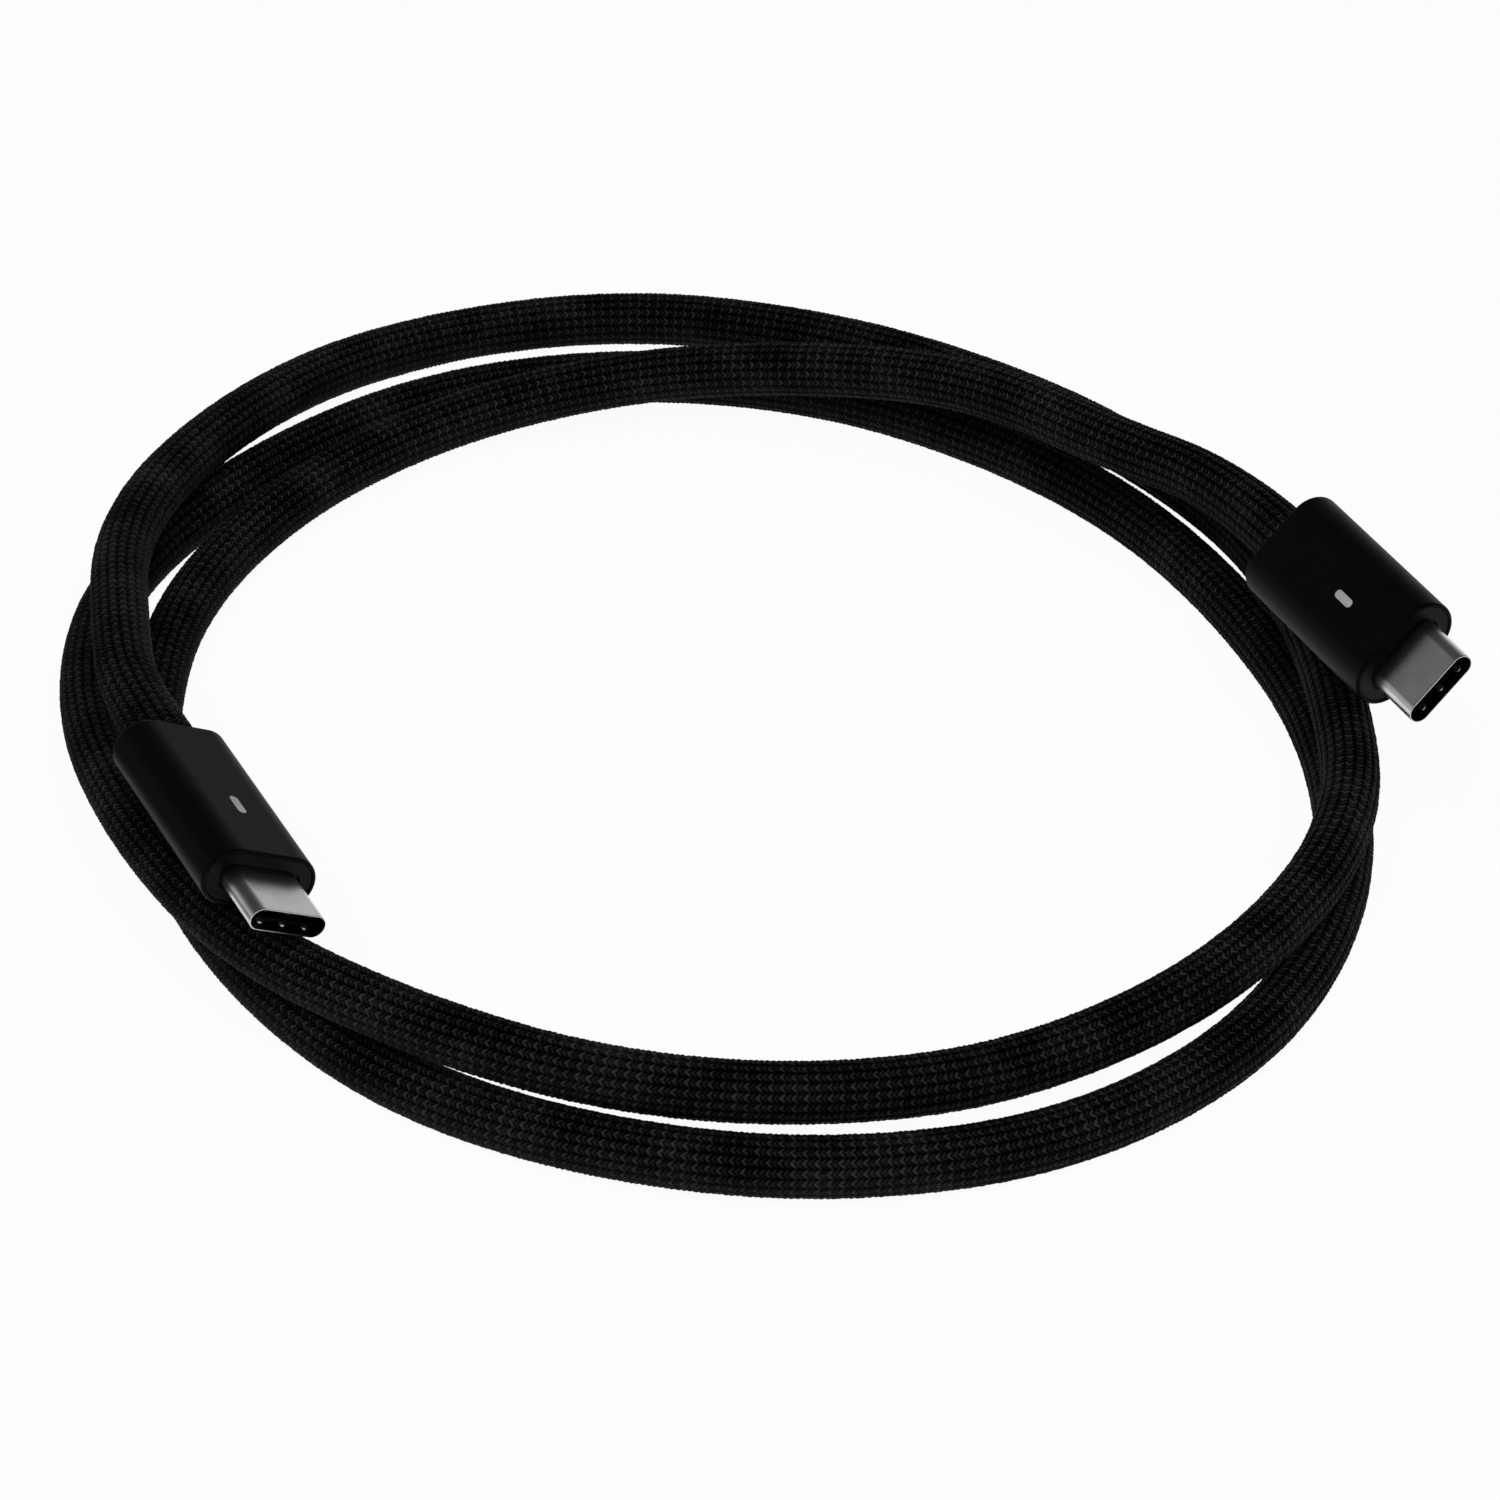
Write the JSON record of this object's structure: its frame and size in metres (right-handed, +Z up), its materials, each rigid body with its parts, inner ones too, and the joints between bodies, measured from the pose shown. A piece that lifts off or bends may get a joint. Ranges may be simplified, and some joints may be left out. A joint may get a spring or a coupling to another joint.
{
  "type": "charging cable",
  "caption": "Coiled charging cable: a braided cord with the same flat, reversible plug on both ends.",
  "frame": {"origin": "middle of the whole cable's footprint, on the plane that the coil rests on", "axes": "+Z up through the flat coil, +X to the right in the picture, +Y away from its viewer"},
  "size_m": [0.14, 0.1413, 0.0229],
  "materials": {
    "braid": "woven polyester, black",
    "jacket_plastic": "extruded, matt",
    "tinned_braid": "fine woven wire, tinned",
    "core_plastic": "extruded insulation",
    "filler_fibre": "bundled fibre",
    "relief_rubber": "moulded, matt",
    "housing_plastic": "fine satin black",
    "cap_plastic": "fine satin dark grey",
    "plated_steel": "pressed sheet, plated",
    "copper": "bare tinned copper ends",
    "card_laminate": "solder mask",
    "chip_plastic": "moulded",
    "capacitor_ceramic": "ceramic body",
    "shell_steel": "deep drawn, satin nickel",
    "insulator_plastic": "moulded, black",
    "gold_plate": "gold plated"
  },
  "bodies": {
    "root": {"cable_jacket": "jacket_plastic", "cable_shield": "tinned_braid", "cable_sleeve": "braid", "data_cores": "core_plastic", "filler_strand": "filler_fibre", "left_card_capacitors": "capacitor_ceramic", "left_circuit_card": "card_laminate", "left_connector_shell": "shell_steel", "left_contact_insulator": "insulator_plastic", "left_crimp_ferrule": "plated_steel", "left_front_cap": "cap_plastic", "left_housing": "housing_plastic", "left_latch_plate": "plated_steel", "left_lower_contacts": "gold_plate", "left_lower_ground_spring": "plated_steel", "left_lower_shield_cover": "plated_steel", "left_marker_chip": "chip_plastic", "left_strain_relief": "relief_rubber", "left_upper_contacts": "gold_plate", "left_upper_ground_spring": "plated_steel", "left_upper_shield_cover": "plated_steel", "left_wire_leads": "copper", "power_cores": "core_plastic", "right_card_capacitors": "capacitor_ceramic", "right_circuit_card": "card_laminate", "right_connector_shell": "shell_steel", "right_contact_insulator": "insulator_plastic", "right_crimp_ferrule": "plated_steel", "right_front_cap": "cap_plastic", "right_housing": "housing_plastic", "right_latch_plate": "plated_steel", "right_lower_contacts": "gold_plate", "right_lower_ground_spring": "plated_steel", "right_lower_shield_cover": "plated_steel", "right_marker_chip": "chip_plastic", "right_strain_relief": "relief_rubber", "right_upper_contacts": "gold_plate", "right_upper_ground_spring": "plated_steel", "right_upper_shield_cover": "plated_steel", "right_wire_leads": "copper"}
  },
  "joints": []
}
